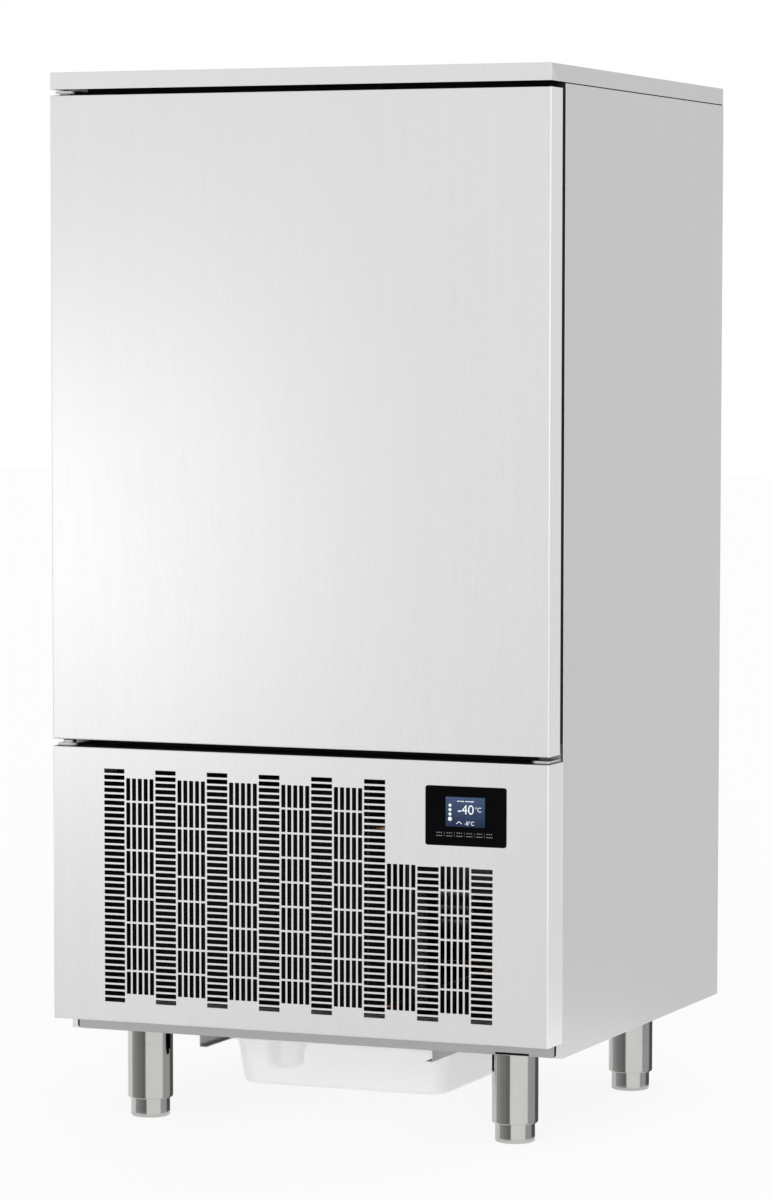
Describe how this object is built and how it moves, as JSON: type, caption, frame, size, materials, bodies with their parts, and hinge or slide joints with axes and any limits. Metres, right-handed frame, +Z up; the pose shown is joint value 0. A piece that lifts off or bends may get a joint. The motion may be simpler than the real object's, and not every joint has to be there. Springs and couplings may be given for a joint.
{
  "type": "blast chiller",
  "caption": "Free-standing stainless steel blast chiller on adjustable legs, with a hinged full-width door, a slotted front panel with controls, racks for trays and a drip tray.",
  "frame": {"origin": "on the floor, under the middle of the cabinet's box", "axes": "+Z up, -Y out of the door, +X to the right of someone who faces the door"},
  "size_m": [0.83, 0.8156, 1.648],
  "materials": {
    "stainless": "fine satin stainless steel sheet",
    "chamber_steel": "bright food-safe stainless steel sheet",
    "satin_steel": "turned and polished stainless steel",
    "galvanised": "galvanised sheet with a faint spangle",
    "foam": "rigid polyurethane foam",
    "gasket_rubber": "black magnetic gasket",
    "black_glass": "black glass touch panel",
    "screen": "lit blue display",
    "black_plastic": "black moulded plastic",
    "grey_plastic": "grey acetal",
    "white_plastic": "white translucent polypropylene",
    "copper": "drawn copper tube",
    "coil_aluminium": "aluminium fins",
    "black_paint": "black semi-gloss paint"
  },
  "bodies": {
    "cabinet": {"top_cover": "stainless", "left_side_panel": "stainless", "right_side_panel": "stainless", "rear_panel": "stainless", "chamber_liner": "chamber_steel", "cabinet_insulation": "foam", "door_frame": "stainless", "machine_deck": "galvanised", "base_pan": "stainless", "front_left_leg": "satin_steel", "front_right_leg": "satin_steel", "rear_left_leg": "satin_steel", "rear_right_leg": "satin_steel", "cable_gland": "black_plastic", "left_tray_runner": "stainless", "right_tray_runner": "stainless", "front_panel": "stainless", "control_fascia": "black_glass", "display_screen": "screen", "control_housing": "black_plastic", "lower_hinge_plate": "satin_steel", "upper_hinge_plate": "satin_steel", "spare_hinge_plate": "satin_steel", "left_tray_rack": "chamber_steel", "right_tray_rack": "chamber_steel", "probe_gland": "grey_plastic", "drain_pipe": "grey_plastic", "fan_panel": "chamber_steel", "lower_fan_guard": "satin_steel", "lower_fan_motor": "black_paint", "upper_fan_guard": "satin_steel", "upper_fan_motor": "black_paint", "evaporator_coil": "coil_aluminium", "condenser_coil": "coil_aluminium", "fan_shroud": "galvanised", "condenser_fan_motor": "black_paint", "compressor": "black_paint", "liquid_receiver": "black_paint", "electrical_box": "galvanised", "discharge_pipe": "copper", "condenser_outlet_pipe": "copper", "liquid_pipe": "copper", "suction_pipe": "copper"},
    "door": {"door_skin": "stainless", "door_inner_panel": "chamber_steel", "door_insulation": "foam", "door_gasket": "gasket_rubber", "lower_door_bush": "grey_plastic", "upper_door_bush": "grey_plastic"},
    "lower_fan": {"lower_fan_rotor": "black_plastic"},
    "upper_fan": {"upper_fan_rotor": "black_plastic"},
    "condenser_fan": {"condenser_fan_rotor": "black_plastic"},
    "drip_drawer": {"drip_tray": "white_plastic"},
    "front_left_foot_screw": {"front_left_foot": "satin_steel"},
    "front_right_foot_screw": {"front_right_foot": "satin_steel"},
    "rear_left_foot_screw": {"rear_left_foot": "satin_steel"},
    "rear_right_foot_screw": {"rear_right_foot": "satin_steel"}
  },
  "joints": [
    {"name": "door_hinge", "type": "hinge", "parent": "cabinet", "child": "door", "pos_m": [-0.397, -0.38125, 1.11175], "axis": [0, 0, -1], "range_deg": [0, 110]},
    {"name": "lower_fan_spin", "type": "hinge", "parent": "cabinet", "child": "lower_fan", "pos_m": [0, 0.13575, 0.90175], "axis": [0, 1, 0], "continuous": true},
    {"name": "upper_fan_spin", "type": "hinge", "parent": "cabinet", "child": "upper_fan", "pos_m": [0, 0.13575, 1.32175], "axis": [0, 1, 0], "continuous": true},
    {"name": "condenser_fan_spin", "type": "hinge", "parent": "cabinet", "child": "condenser_fan", "pos_m": [-0.15, -0.19915, 0.3465], "axis": [0, 1, 0], "continuous": true},
    {"name": "drip_tray_slide", "type": "slide", "parent": "cabinet", "child": "drip_drawer", "axis": [0, -1, 0], "range_m": [0, 0.38]},
    {"name": "front_left_foot_travel", "type": "slide", "parent": "cabinet", "child": "front_left_foot_screw", "axis": [0, 0, -1], "range_m": [0, 0.03]},
    {"name": "front_right_foot_travel", "type": "slide", "parent": "cabinet", "child": "front_right_foot_screw", "axis": [0, 0, -1], "range_m": [0, 0.03]},
    {"name": "rear_left_foot_travel", "type": "slide", "parent": "cabinet", "child": "rear_left_foot_screw", "axis": [0, 0, -1], "range_m": [0, 0.03]},
    {"name": "rear_right_foot_travel", "type": "slide", "parent": "cabinet", "child": "rear_right_foot_screw", "axis": [0, 0, -1], "range_m": [0, 0.03]}
  ]
}
